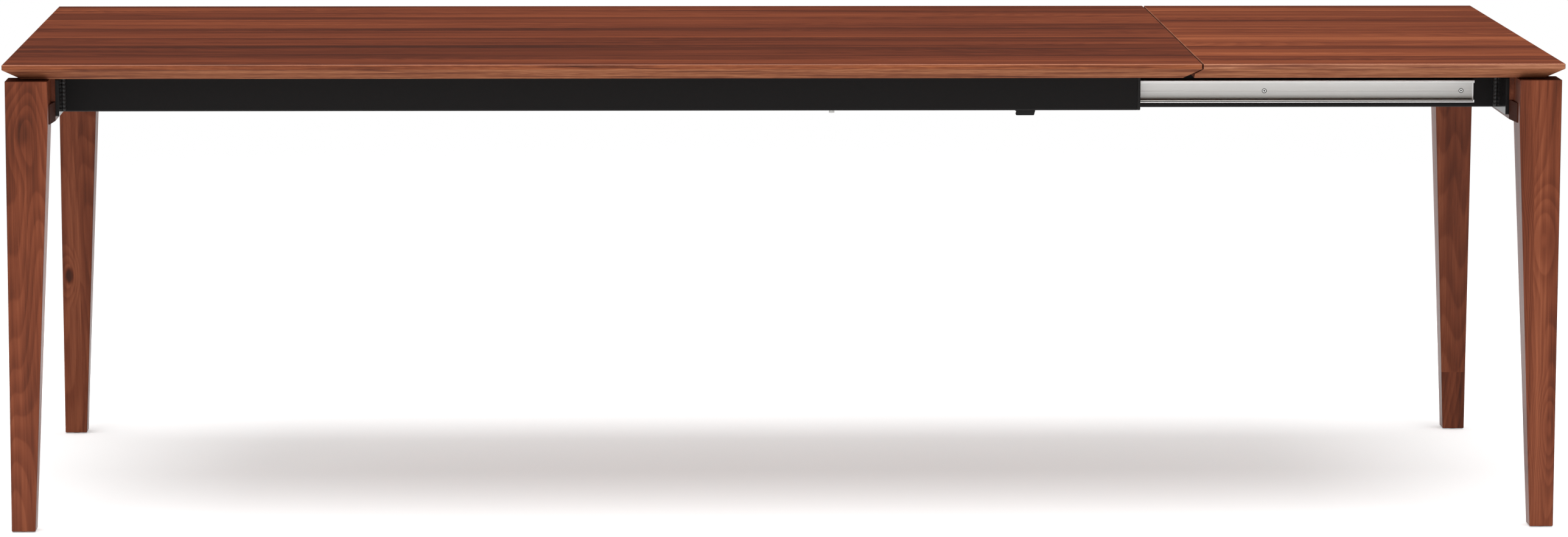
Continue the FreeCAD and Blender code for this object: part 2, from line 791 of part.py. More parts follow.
def top_spacer(along):
    start = (along, OUTER_MIDDLE_Y, OUTER_TOP)
    pad_disc = rod("spacer_radius", "spacer_height", start, "+z")
    return cut(pad_disc, rod("top_screw_radius + hole_clearance", "spacer_height", start, "+z"))


def top_screw(along):
    seat = (along, OUTER_MIDDLE_Y, f"{OUTER_TOP} - rail_wall")
    head = rod("top_screw_head_radius", "top_screw_head_height", seat, "-z")
    shank = rod("top_screw_radius", "rail_wall + spacer_height + top_screw_bite", seat, "+z")
    mouth = (along, OUTER_MIDDLE_Y, f"{OUTER_TOP} - rail_wall - top_screw_head_height")
    socket = hexagon("socket_radius", "socket_depth", mouth, "+z")
    return cut(fuse(head, shank), socket)


def both_sides(items):
    front = group(*items)
    return group(front, to_rear(front))


keep(both_sides([top_spacer(along) for along in TOP_SCREWS_X]), "top_spacers")
top_screws = keep(both_sides([top_screw(along) for along in TOP_SCREWS_X]), "top_screws")


# Runners: aluminium channels with lipped flanges, open towards the outer rails

def runner():
    """A channel that is the same above and below its middle.

    A crease runs along its web, and a groove along each lip.
    """
    body = new_body()
    half = "(runner_height / 2)"
    flange = f"({half} - runner_flange)"
    lip = f"({flange} - runner_lip)"
    groove = f"(({lip} + {half}) / 2)"
    behind_lip = f"{RUNNER_Y} + runner_lip_thickness"
    profile = [
        (f"{RUNNER_WEB_Y} + runner_crease", "0"),
        (RUNNER_WEB_Y, "runner_groove"),
        (RUNNER_WEB_Y, flange),
        (behind_lip, flange),
        (behind_lip, lip),
        (RUNNER_Y, lip),
        (RUNNER_Y, f"({groove} - runner_groove)"),
        (f"{RUNNER_Y} + runner_groove_depth", groove),
        (RUNNER_Y, f"({groove} + runner_groove)"),
        (RUNNER_Y, f"({half} - runner_groove)"),
        (f"{RUNNER_Y} + runner_groove", half),
        (INNER_Y, half),
    ]
    upper = [(across, f"{RUNNER_Z} + {up}") for across, up in profile]
    lower = [(across, f"{RUNNER_Z} - {up}") for across, up in reversed(profile[1:])]
    section = new_sketch(body, "YZ_Plane", RUNNER_START)
    polygon(section, upper + lower)
    pad(body, section, f"{RUNNER_END} - {RUNNER_START}")
    return body


# Their screws sit a little below the mouths of the countersinks
runner_screw_sizes = ("runner_screw_head_radius", "runner_screw_radius", "runner_screw_length")
RUNNER_SINK_RADIUS = "(runner_screw_head_radius + runner_screw_recess)"
runner_sink_sizes = (RUNNER_SINK_RADIUS, "runner_screw_radius", "runner_web")
runner_screws = []
runner_sinks = []
for along in RUNNER_SCREWS_X:
    screw_face = (along, f"{RUNNER_WEB_Y} + runner_screw_recess", RUNNER_Z)
    runner_screws.append(countersunk_screw(screw_face, "+y", *runner_screw_sizes))
    runner_sinks.append(countersink((along, RUNNER_WEB_Y, RUNNER_Z), "+y", *runner_sink_sizes))
front_runner = keep(cut(runner(), *runner_sinks), "front_runner")
keep(to_rear(front_runner), "rear_runner")
keep(both_sides(runner_screws), "runner_screws")

# Stops: plastic blocks in the hidden ends of the channels, which meet the tail rollers
stop_low = f"{RUNNER_Z} - runner_height / 2 + runner_flange + stop_clearance"
front_runner_stop = keep(box(
    ("stop_length",
     "runner_depth - runner_web - runner_lip_thickness - 2 * stop_clearance",
     "runner_height - 2 * runner_flange - 2 * stop_clearance"),
    (RUNNER_START, f"{RUNNER_Y} + runner_lip_thickness + stop_clearance", stop_low)), "front_runner_stop")
keep(to_rear(front_runner_stop), "rear_runner_stop")


# Guide rollers on shoulder axles that are bolted to the outer rails

AXLE_END_Y = f"({ROLLER_Y} + roller_width + axle_clearance)"


def roller(along):
    start = (along, ROLLER_Y, RUNNER_Z)
    wheel = rod(ROLLER_RADIUS, "roller_width", start, "+y")
    return cut(wheel, rod("axle_radius + axle_clearance", "roller_width", start, "+y"))


def axle(along):
    shoulder = (along, OUTER_BACK_Y, RUNNER_Z)
    shank = rod("axle_radius", f"{AXLE_END_Y} - {OUTER_BACK_Y}", shoulder, "+y")
    head = rod("axle_head_radius", "axle_head_height", (along, AXLE_END_Y, RUNNER_Z), "+y")
    spigot = rod("axle_spigot_radius", "rail_wall + nut_height", shoulder, "-y")
    return fuse(shank, head, spigot)


def axle_nut(along):
    start = (along, f"{OUTER_BACK_Y} - rail_wall", RUNNER_Z)
    nut = hexagon("nut_radius", "nut_height", start, "-y")
    return cut(nut, rod("axle_spigot_radius + axle_clearance", "nut_height", start, "-y"))


for name, along in ROLLERS_X.items():
    front_roller = keep(roller(along), f"front_{name}_roller")
    keep(to_rear(front_roller), f"rear_{name}_roller")
keep(both_sides([axle(along) for along in ROLLERS_X.values()]), "roller_axles")
keep(both_sides([axle_nut(along) for along in ROLLERS_X.values()]), "axle_nuts")


# Tail bar: a flat bar under the hidden ends of the inner rails

TAIL_BAR_Z = f"({INNER_BOTTOM} - tail_bar_thickness)"
flat_bar = box(("tail_bar_width", f"-2 * {INNER_Y}", "tail_bar_thickness"),
               (f"{TAIL_BAR_X} - tail_bar_width / 2", INNER_Y, TAIL_BAR_Z))
bar_start = (TAIL_BAR_X, INNER_MIDDLE_Y, TAIL_BAR_Z)
bar_hole = rod("tail_bolt_radius + hole_clearance", "tail_bar_thickness", bar_start, "+z")
keep(cut(flat_bar, bar_hole, to_rear(bar_hole)), "tail_bar")
bolt_head = hexagon("tail_bolt_head_radius", "tail_bolt_head_height", bar_start, "-z")
bolt_shank = rod("tail_bolt_radius", "tail_bolt_length", bar_start, "+z")
keep(both_sides([fuse(bolt_head, bolt_shank)]), "tail_bolts")


# Strips that the leaf lies on

STRIP_X = f"({LEAF_START} + strip_margin)"
STRIP_LENGTH = f"({INNER_END} - {STRIP_X} - strip_margin)"
STRIP_Z = f"({UNDERSIDE} - strip_height)"
strip_sizes = ("strip_screw_head_radius", "strip_screw_radius", "strip_screw_length")
STRIP_SCREW_RUN = f"({STRIP_LENGTH} - 2 * strip_screw_margin)"
strip_faces = [
    (f"{STRIP_X} + strip_screw_margin + {share} * {STRIP_SCREW_RUN}", INNER_MIDDLE_Y, STRIP_Z)
    for share in (0, 0.5, 1)
]
strip = box((STRIP_LENGTH, "strip_width", "strip_height"),
            (STRIP_X, f"{INNER_MIDDLE_Y} - strip_width / 2", STRIP_Z))
strip_sinks = [countersink(face, "+z", *strip_sizes) for face in strip_faces]
front_leaf_strip = keep(cut(strip, *strip_sinks), "front_leaf_strip")
keep(to_rear(front_leaf_strip), "rear_leaf_strip")
leaf_strip_screws = keep(
    both_sides([countersunk_screw(face, "+z", *strip_sizes) for face in strip_faces]), "leaf_strip_screws")


# Screws bite into the boards: each board is drilled to the screws' own outlines

def drilled(plain, label, *drills):
    nodes.remove(plain)
    plain.Label = f"{label} blank"
    return keep(cut(plain, *drills), label)


def pilot(radius, bite, point):
    return rod(radius, bite, point, "+z")


top_pilots = both_sides([
    pilot("top_screw_radius", "top_screw_bite", (along, OUTER_MIDDLE_Y, UNDERSIDE))
    for along in TOP_SCREWS_X
])
drilled(main_top, "main_top", top_pilots)
leaf_pilots = both_sides([
    pilot("strip_screw_radius", "strip_screw_length - strip_height", (across, along, UNDERSIDE))
    for across, along, _ in strip_faces
])
drilled(extension_leaf, "extension_leaf", leaf_pilots)


# Lock lever: a grip with an eccentric cam that rises under the front runner as it is swung

def lock_bracket():
    body = new_body()
    drop = f"{OUTER_BOTTOM} - bracket_drop"
    right = f"{LOCK_X} + lever_width / 2"
    face = new_sketch(body, "XZ_Plane", f"-{OUTER_BACK_Y}")
    polygon(face, [
        (f"{LOCK_X} - bracket_reach", BRACKET_TOP),
        (f"{LOCK_X} - bracket_reach", f"{drop} + bracket_cut"),
        (f"{LOCK_X} - bracket_reach + bracket_cut", drop),
        (right, drop),
        (right, BRACKET_TOP),
    ])
    circles(face, [(LOCK_X, PIVOT_Z)], "pivot_radius + axle_clearance")
    pad(body, face, "bracket_thickness", True)
    return body


bracket_sizes = ("bracket_screw_head_radius", "bracket_screw_radius", "bracket_screw_length")
BRACKET_FACE_Y = f"({OUTER_BACK_Y} + bracket_thickness)"
bracket_faces = [(along, BRACKET_FACE_Y, BRACKET_SCREW_Z) for along in BRACKET_SCREWS_X]
bracket_sinks = [countersink(face, "-y", *bracket_sizes) for face in bracket_faces]
keep(cut(lock_bracket(), *bracket_sinks), "lock_bracket")
bracket_screws = [countersunk_screw(face, "-y", *bracket_sizes) for face in bracket_faces]
keep(group(*bracket_screws), "lock_bracket_screws")

PIVOT_END_Y = f"({LEVER_Y} + lever_thickness + lever_gap)"
pivot_start = (LOCK_X, OUTER_BACK_Y, PIVOT_Z)
pivot_shank = rod("pivot_radius", f"{PIVOT_END_Y} - {OUTER_BACK_Y}", pivot_start, "+y")
pivot_head = rod("pivot_head_radius", "pivot_head_height", (LOCK_X, PIVOT_END_Y, PIVOT_Z), "+y")
keep(fuse(pivot_shank, pivot_head), "lock_pivot")


def lock_lever():
    """A cam about the pivot, drawn as it stands when it is let go, and a slanted grip below it."""
    body = new_body()
    place(body, (LOCK_X, LEVER_Y, PIVOT_Z))
    cam = new_sketch(body, "XZ_Plane")
    circles(cam, [("cam_offset * sin(cam_turn)", "cam_offset * cos(cam_turn)")], "cam_radius")
    pad(body, cam, "lever_thickness", True)
    neck = new_sketch(body, "XZ_Plane")
    neck_low = ("-lever_neck / 2", "-lever_shoulder - lever_rounding")
    rectangle(neck, neck_low, ("lever_neck / 2", "cam_offset"))
    pad(body, neck, "lever_thickness", True)
    grip = new_sketch(body, "XZ_Plane")
    polygon(grip, [
        ("-lever_width / 2 - lever_slant / 2", "-lever_drop"),
        ("lever_width / 2 - lever_slant / 2", "-lever_drop"),
        ("lever_width / 2 + lever_slant / 2", "-lever_shoulder"),
        ("-lever_width / 2 + lever_slant / 2", "-lever_shoulder"),
    ])
    pad(body, grip, "lever_thickness", True)
    lowest = -number("lever_drop") + 0.01
    ease(body, "PartDesign::Fillet", "Radius", "lever_rounding",
         lambda edge: all(vertex.Z < lowest for vertex in edge.Vertexes) and edge.tangentAt(0).x == 0)
    bore = new_sketch(body, "XZ_Plane")
    circles(bore, [("0", "0")], "pivot_radius + axle_clearance")
    pocket(body, bore, "lever_thickness")
    return body


keep(lock_lever(), "lock_lever")


# Check everything, then write one file for each sub-part

doc.recompute()
for item in doc.Objects:
    if "Invalid" in item.State or "Error" in item.State:
        raise RuntimeError(f"{item.Label} failed: {item.State}")
os.makedirs("parts", exist_ok=True)
for node in nodes:
    if node.Shape.isNull() or not node.Shape.isValid() or not node.Shape.Solids:
        raise RuntimeError(f"{node.Label} has no sound shape")
for node in nodes:
    node.Shape.exportStep(f"parts/{node.Label}.step")
    print(f"{node.Label}: {len(node.Shape.Solids)} solids, {node.Shape.Volume / 1000:.1f} cm3")
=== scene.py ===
"""Looks of the extending dining table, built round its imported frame. Metres, row frame."""
import json
import math

import bmesh
import bpy
from mathutils import Matrix, Vector


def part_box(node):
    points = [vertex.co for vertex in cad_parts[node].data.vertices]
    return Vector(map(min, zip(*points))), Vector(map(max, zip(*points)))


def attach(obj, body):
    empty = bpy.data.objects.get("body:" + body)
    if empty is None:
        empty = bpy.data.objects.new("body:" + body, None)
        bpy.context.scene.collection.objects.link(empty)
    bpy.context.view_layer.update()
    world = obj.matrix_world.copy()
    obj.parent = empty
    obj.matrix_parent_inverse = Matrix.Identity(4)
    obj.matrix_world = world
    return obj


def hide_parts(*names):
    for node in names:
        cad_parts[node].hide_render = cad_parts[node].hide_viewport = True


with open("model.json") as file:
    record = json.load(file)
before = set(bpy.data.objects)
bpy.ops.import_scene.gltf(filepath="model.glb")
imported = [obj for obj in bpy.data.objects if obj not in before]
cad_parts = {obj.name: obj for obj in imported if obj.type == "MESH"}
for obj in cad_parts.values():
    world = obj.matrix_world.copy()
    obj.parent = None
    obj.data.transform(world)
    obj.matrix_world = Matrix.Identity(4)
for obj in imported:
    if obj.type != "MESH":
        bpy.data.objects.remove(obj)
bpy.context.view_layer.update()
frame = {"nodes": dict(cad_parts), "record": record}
nodes = frame["nodes"]
scene = bpy.context.scene

# Wood tones, as linear colours
BOARD_TONES = [
    (0.0, (0.042, 0.012, 0.007)),
    (0.25, (0.088, 0.02, 0.009)),
    (0.5, (0.155, 0.036, 0.015)),
    (0.75, (0.235, 0.061, 0.024)),
    (1.0, (0.36, 0.11, 0.045)),
]
LEG_TONES = [
    (0.0, (0.052, 0.0147, 0.0074)),
    (0.35, (0.122, 0.0297, 0.0127)),
    (0.6, (0.183, 0.047, 0.0203)),
    (1.0, (0.29, 0.088, 0.04)),
]
END_GRAIN = (0.045, 0.013, 0.007, 1.0)
# Painted highlight along the boards' rounded upper edges
ARRIS_HIGHLIGHT = (0.42, 0.19, 0.12, 1.0)
# Painted light: the bevel under a board's edge is tinted paler and greyer, as if lit from the floor
BEVEL_LIGHT_TINT = (1.0, 1.29, 1.49)

# How many features of the wood's figure there are to a metre, two ways across the grain and along it
SWAY = (5.0, 5.0, 1.4)
BROAD_BANDS = (24.0, 24.0, 0.8)
RING_FIGURE = (9.0, 9.0, 0.9)
STREAKS = (70.0, 70.0, 1.5)
FIBRES = (300.0, 300.0, 5.0)
PORES = (900.0, 900.0, 22.0)
LENSES = (50.0, 50.0, 5.0)
FLECKS = (150.0, 150.0, 45.0)

# The other measures of the figure
RINGS_IN_FIGURE = 40.0
SWAY_REACH = (0.03, 0.03, 0.0)
STAVE_JUMP = (3.0, 3.0, 7.0)
STAVE_CONTRAST = 0.34
GLUE_LINE_JUMP = (1.3, 2.1, 3.7)
# Painted light: where a leg grows paler towards its foot, away from the shade under the top
FOOT_LIGHT_BELOW = (0.64, 0.48)
LACQUER_GLOSS = 0.14

# Tones of a runner from its lower edge, 0, to its upper edge, 1.
# Painted shade darkens the web towards its bottom, the lower groove and the top face. Painted light
# makes the lips paler upward, with a painted highlight along the lower edge of the lower lip.
TOP_FACE_SHADE = (0.03, 0.025, 0.02)
LOWER_GROOVE_SHADE = (0.1, 0.095, 0.09)
SHADED_LOWER_LIP = (0.54, 0.53, 0.5)
LIT_UPPER_LIP = (0.92, 0.92, 0.91)
WEB_TONES = [
    (0.08, (0.34, 0.31, 0.265)),
    (0.24, (0.6, 0.59, 0.56)),
    (0.42, (0.69, 0.685, 0.665)),
    (0.99, (0.76, 0.755, 0.735)),
    (0.998, TOP_FACE_SHADE),
]
LIP_TONES = [
    (0.042, (0.95, 0.95, 0.94)),
    (0.048, LOWER_GROOVE_SHADE),
    (0.07, LOWER_GROOVE_SHADE),
    (0.076, SHADED_LOWER_LIP),
    (0.13, SHADED_LOWER_LIP),
    (0.6, LIT_UPPER_LIP),
    (0.99, LIT_UPPER_LIP),
    (0.998, TOP_FACE_SHADE),
]
# Painted shade in the runners' countersinks and in the screws' sockets and rims
RECESS_SHADE = (0.015, 0.014, 0.013, 1.0)
# Painted highlight on the runners' sawn ends
SAWN_END_HIGHLIGHT = (1.0, 1.0, 1.0, 1.0)
SCREWS_TO_A_RUNNER = 4
COUNTERSINK_SHADE = 0.84

BLACK_COAT = (0.0083, 0.0076, 0.0076)


# Shader building blocks

class Nodes:
    """A node tree that grows one call at a time."""

    def __init__(self, tree):
        self.tree = tree

    def add(self, kind, inputs=(), **settings):
        item = self.tree.nodes.new("ShaderNode" + kind)
        for key, value in settings.items():
            setattr(item, key, value)
        for key, value in dict(inputs).items():
            self.put(item.inputs[key], value)
        return item

    def put(self, socket, value):
        if isinstance(value, bpy.types.NodeSocket):
            self.tree.links.new(value, socket)
        else:
            socket.default_value = value

    def math(self, operation, first, second=0.0, third=0.0):
        item = self.add("Math", {0: first, 1: second, 2: third}, operation=operation)
        return item.outputs[0]

    def split(self, vector):
        return self.add("SeparateXYZ", {0: vector}).outputs

    def join(self, x, y, z):
        return self.add("CombineXYZ", {0: x, 1: y, 2: z}).outputs[0]

    def scaled(self, vector, factors):
        return self.add("VectorMath", {0: vector, 1: factors}, operation="MULTIPLY").outputs[0]

    def plus(self, first, second):
        return self.add("VectorMath", {0: first, 1: second}, operation="ADD").outputs[0]

    def noise(self, vector, factors, detail=2.0, roughness=0.5):
        place = self.scaled(vector, factors)
        inputs = {"Vector": place, "Scale": 1.0, "Detail": detail, "Roughness": roughness}
        return self.add("TexNoise", inputs).outputs["Fac"]

    def ramp(self, value, stops):
        item = self.add("ValToRGB", {0: value})
        points = item.color_ramp.elements
        while len(points) < len(stops):
            points.new(0.5)
        for point, (place, color) in zip(points, stops):
            point.position = place
            point.color = (*color, 1.0)
        return item.outputs[0]

    def between(self, value, low, high):
        """0 below low, 1 above high, smooth between."""
        inputs = {"Value": value, "From Min": low, "From Max": high}
        return self.add("MapRange", inputs, interpolation_type="SMOOTHSTEP").outputs[0]

    def mix(self, share, first, second):
        item = self.add("Mix", {0: share, 6: first, 7: second}, data_type="RGBA")
        return item.outputs[2]

    def seen(self, *rays):
        """1 for the kinds of ray that are named, 0 for the rest."""
        kinds = self.add("LightPath").outputs
        total = 0.0
        for ray in rays:
            total = self.math("MAXIMUM", kinds[f"Is {ray} Ray"], total)
        return total


class Shader(Nodes):
    """A material round its Principled shader."""

    def __init__(self, name):
        self.material = bpy.data.materials.new(name)
        self.material.use_nodes = True
        super().__init__(self.material.node_tree)
        self.surface = self.tree.nodes["Principled BSDF"]

    def look(self, name, value):
        self.put(self.surface.inputs[name], value)

    def position(self):
        return self.add("TexCoord").outputs["Object"]

    def bump(self, height, strength, distance):
        inputs = {"Height": height, "Strength": strength, "Distance": distance}
        self.look("Normal", self.add("Bump", inputs).outputs[0])


def board_edges(s, value, facing, point, edge_light_lift, bevel_light_lift):
    """A board's tone, lifted by painted light on its upright edges and on the bevel below them, and where
    these are.

    Long dark lenses and short flecks lie in these edges, where the fibres come out at a slant.
    """
    under = s.between(facing[2], -0.2, -0.5)
    upright = s.between(s.math("ABSOLUTE", facing[1]), 0.3, 0.6)
    front = s.math("MULTIPLY", upright, s.math("SUBTRACT", 1.0, under))
    edge = s.math("MAXIMUM", front, under)
    lenses = s.between(s.noise(point, LENSES, detail=3.0), 0.48, 0.68)
    flecks = s.math("SUBTRACT", s.noise(point, FLECKS, detail=3.0), 0.5)
    value = s.math("MULTIPLY_ADD", s.math("MULTIPLY", flecks, edge), 0.5, value)
    value = s.math("MULTIPLY_ADD", front, edge_light_lift, value)
    value = s.math("MULTIPLY_ADD", under, bevel_light_lift, value)
    return s.math("MULTIPLY_ADD", s.math("MULTIPLY", lenses, edge), -0.36, value), front, under


def painted_arris_highlight(s, color, facing):
    """A painted highlight: a pale line along the rounded upper edges."""
    arris = s.math("MULTIPLY", s.between(facing[2], 0.12, 0.4), s.between(facing[2], 0.97, 0.85))
    return s.mix(s.math("MULTIPLY", arris, 0.5), color, ARRIS_HIGHLIGHT)


def knot_distance(s, axes, x, z, radius):
    """How far a point is from a knot through a leg, in the knot's radii, drawn out along the leg."""
    wide = s.math("SUBTRACT", axes[0], x)
    tall = s.math("MULTIPLY", s.math("SUBTRACT", axes[2], z), 0.45)
    square = s.math("MULTIPLY_ADD", wide, wide, s.math("MULTIPLY", tall, tall))
    return s.math("DIVIDE", s.math("SQRT", square), radius)


def wood(name, grain, tones, seed, staves=0.0, tone_shift=0.0, edge_light_lift=0.0, edge_light_tint=(1.0, 1.0, 1.0),
         bevel_light_lift=0.0, foot_light_lift=0.0, ring_depth=0.17, end_depth=0.7, split_at=None, cut_end=None,
         knots=()):
    """Satin lacquered walnut. grain is the axis that its fibres run along.

    staves is how many glued strips there are to a metre. The lifts and the edge tint are painted light:
    they make a board's edge and bevel, or the lower part of a leg, paler. ring_depth is how dark the
    growth rings are, and end_depth the end grain. split_at is (axis, place, shift) of one glue line
    where the tone changes. cut_end is how far from the middle a rail's slanting end cut begins, and how
    high its haunch goes, which shows the most end grain. A knot is (x, z, radius, darkness).
    """
    s = Shader(name)
    axes = s.split(s.position())
    order = {"x": (1, 2, 0), "y": (2, 0, 1), "z": (0, 1, 2)}[grain]
    across, up, along = (axes[index] for index in order)
    if staves:
        up = s.math("MULTIPLY", up, 4.0)
    point = s.plus(s.join(across, up, along), (seed * 1.7, seed * 0.9, seed * 2.3))
    tone = tone_shift
    if staves:
        strip = s.add("TexVoronoi", {"W": s.math("MULTIPLY_ADD", across, staves, seed), "Scale": 1.0},
                      voronoi_dimensions="1D")
        jump = strip.outputs["Color"]
        point = s.plus(point, s.scaled(jump, STAVE_JUMP))
        tone = s.math("MULTIPLY_ADD", s.split(jump)[0], STAVE_CONTRAST, tone_shift - STAVE_CONTRAST / 2)
    if split_at:
        axis, place, shift = split_at
        side = s.math("GREATER_THAN", axes["xyz".index(axis)], place)
        point = s.plus(point, s.scaled(s.join(side, side, side), GLUE_LINE_JUMP))
        tone = s.math("MULTIPLY_ADD", side, shift, tone)
    # Painted light: the lower part of a leg is lifted paler.
    if foot_light_lift:
        tone = s.math("MULTIPLY_ADD", s.between(along, *FOOT_LIGHT_BELOW), foot_light_lift, tone)
    sway = s.noise(point, SWAY)
    bent = s.plus(point, s.scaled(s.join(sway, sway, 0.0), SWAY_REACH))
    broad = s.noise(bent, BROAD_BANDS, detail=3.0)
    figure = s.noise(bent, RING_FIGURE, detail=1.0)
    for x, z, radius, darkness in knots:
        away = knot_distance(s, axes, x, z, radius)
        figure = s.math("MULTIPLY_ADD", s.between(away, 2.6, 0.0), 0.07, figure)
        tone = s.math("MULTIPLY_ADD", s.between(away, 0.8, 0.3), -darkness, tone)
    rings = s.math("FRACT", s.math("MULTIPLY", figure, RINGS_IN_FIGURE))
    late = s.math("MULTIPLY", s.between(rings, 0.1, 0.85), s.between(rings, 1.0, 0.85))
    facing = s.split(s.add("TexCoord").outputs["Normal"])
    end = s.between(s.math("ABSOLUTE", facing[order[2]]), 0.6, 0.8)
    if cut_end:
        begin, haunch_top = cut_end
        cut = s.math("GREATER_THAN", s.math("ABSOLUTE", along), begin)
        haunch = s.math("LESS_THAN", axes[2], haunch_top)
        share = s.math("MULTIPLY_ADD", haunch, 0.65, 0.35)
        end = s.math("MAXIMUM", end, s.math("MULTIPLY", cut, share))
    late = s.math("MULTIPLY", late, s.math("SUBTRACT", 1.0, end))
    streaks = s.noise(bent, STREAKS, detail=2.0)
    fibres = s.noise(bent, FIBRES, detail=5.0, roughness=0.62)
    pores = s.between(s.noise(bent, PORES, detail=2.0), 0.62, 0.72)
    value = s.math("ADD", s.math("SUBTRACT", broad, 0.03), tone)
    value = s.math("MULTIPLY_ADD", late, -ring_depth, value)
    value = s.math("MULTIPLY_ADD", s.math("SUBTRACT", streaks, 0.5), 0.45 if staves else 0.6, value)
    value = s.math("MULTIPLY_ADD", s.math("SUBTRACT", fibres, 0.5), 0.55 if staves else 0.8, value)
    value = s.math("MULTIPLY_ADD", pores, -0.1, value)
    if staves:
        value, front, under = board_edges(s, value, facing, bent, edge_light_lift, bevel_light_lift)
    color = s.ramp(value, tones)
    # Painted light: a board's upright edges and its bevel are tinted paler.
    if staves:
        color = s.mix(front, color, s.scaled(color, edge_light_tint))
        color = s.mix(under, color, s.scaled(color, BEVEL_LIGHT_TINT))
    color = s.mix(s.math("MULTIPLY", end, end_depth), color, END_GRAIN)
    # Painted highlight along a board's rounded upper edges.
    if staves:
        color = painted_arris_highlight(s, color, facing)
    s.look("Base Color", color)
    satin = s.math("MULTIPLY_ADD", fibres, 0.2, 0.24)
    if staves:
        satin = s.math("MULTIPLY_ADD", under, 0.4, satin)
    s.look("Roughness", s.math("MULTIPLY_ADD", end, 0.5, satin))
    s.look("Specular IOR Level", LACQUER_GLOSS)
    s.bump(s.math("MULTIPLY_ADD", pores, -0.5, fibres), 0.2, 0.0004)
    return s.material


def speckled(name, color, roughness, metallic=0.0, grain=900.0, spread=0.12, bump=0.1, gloss=0.5):
    """A plain finish with a fine grain in its colour, roughness and surface."""
    s = Shader(name)
    place = s.position()
    fine = s.noise(place, (grain,) * 3, detail=3.0)
    slow = s.noise(place, (9.0,) * 3, detail=2.0)
    lift = s.math("MULTIPLY_ADD", s.math("ADD", fine, slow), spread, 1.0 - spread)
    s.look("Base Color", s.scaled(s.join(*color), s.join(lift, lift, lift)))
    s.look("Roughness", s.math("MULTIPLY_ADD", slow, 0.16, roughness - 0.08))
    s.look("Metallic", metallic)
    s.look("Specular IOR Level", gloss)
    s.bump(fine, bump, 0.0003)
    return s.material


def screw_distance(s, place):
    """How far a point is from the axis of the nearest runner screw, in radii of the screw's head."""
    low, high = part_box("runner_screws")
    radius = (high.z - low.z) / 2
    spacing = (high.x - low.x - 2 * radius) / (SCREWS_TO_A_RUNNER - 1)
    along = s.math("SUBTRACT", s.split(place)[0], low.x + radius)
    along = s.math("WRAP", along, spacing / 2, -spacing / 2)
    upward = s.math("SUBTRACT", s.split(place)[2], (low.z + high.z) / 2)
    square = s.math("MULTIPLY_ADD", along, along, s.math("MULTIPLY", upward, upward))
    return s.math("DIVIDE", s.math("SQRT", square), radius)


def runner_finish(name, roughness):
    """Extruded aluminium with drawing lines along X, and painted light on its lips.

    It has painted shade low on its web, in its lower groove, in the countersinks and on its top face, is
    dull in the crease along its middle and on top, and has a painted highlight where it is sawn off.
    """
    s = Shader(name)
    place = s.position()
    low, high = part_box("rear_runner")
    side = s.math("ABSOLUTE", s.split(place)[1])
    height = s.math("DIVIDE", s.math("SUBTRACT", s.split(place)[2], low.z), high.z - low.z)
    lip = s.between(side, high.y - 0.006, high.y - 0.003)
    # Painted shade low on the web and painted light on the lips, from the two tone ramps.
    color = s.mix(lip, s.ramp(height, WEB_TONES), s.ramp(height, LIP_TONES))
    # Painted shade in the countersinks.
    countersink_shade_mask = s.between(screw_distance(s, place), 1.24, 1.16)
    color = s.mix(s.math("MULTIPLY", countersink_shade_mask, COUNTERSINK_SHADE), color, RECESS_SHADE)
    below_top = s.between(height, 0.987, 0.983)
    # Painted highlight on the sawn end.
    sawn = s.between(s.split(place)[0], high.x - 0.0022, high.x - 0.0014)
    color = s.mix(s.math("MULTIPLY", sawn, below_top), color, SAWN_END_HIGHLIGHT)
    crease = s.between(s.math("ABSOLUTE", s.math("SUBTRACT", height, 0.5)), 0.02, 0.012)
    shine = s.math("MULTIPLY", below_top, s.math("MULTIPLY_ADD", crease, -0.55, 1.0))
    lines = s.noise(place, (1.5, 1600.0, 1600.0), detail=4.0, roughness=0.7)
    slow = s.noise(place, (2.0, 160.0, 160.0), detail=2.0)
    lift = s.math("MULTIPLY_ADD", s.math("ADD", lines, slow), 0.16, 0.84)
    s.look("Base Color", s.scaled(color, s.join(lift, lift, lift)))
    s.look("Metallic", shine)
    s.look("Specular IOR Level", 0.1)
    s.look("Roughness", s.math("MULTIPLY_ADD", lines, 0.2, roughness - 0.1))
    s.bump(lines, 0.12, 0.0002)
    return s.material


def socket_screws(name):
    """Zinc-plated screws across Y, with painted shade in their sockets and round their rims."""
    s = Shader(name)
    place = s.position()
    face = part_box("runner_screws")[1].y
    depth = s.math("SUBTRACT", face, s.math("ABSOLUTE", s.split(place)[1]))
    fine = s.noise(place, (900.0, 900.0, 900.0), detail=3.0)
    plating = s.ramp(fine, [(0.3, (0.86, 0.86, 0.84)), (0.7, (0.96, 0.96, 0.94))])
    # Painted shade round the rims and in the sockets.
    rim_shade = s.math("MULTIPLY", s.between(screw_distance(s, place), 0.78, 0.88), COUNTERSINK_SHADE)
    dark = s.math("MAXIMUM", s.between(depth, 0.0001, 0.0005), rim_shade)
    s.look("Base Color", s.mix(dark, plating, RECESS_SHADE))
    s.look("Metallic", 1.0)
    s.look("Roughness", s.math("MULTIPLY_ADD", fine, 0.14, 0.22))
    s.bump(fine, 0.08, 0.0002)
    return s.material


# The finish of each piece: its own, or else that of its material slot

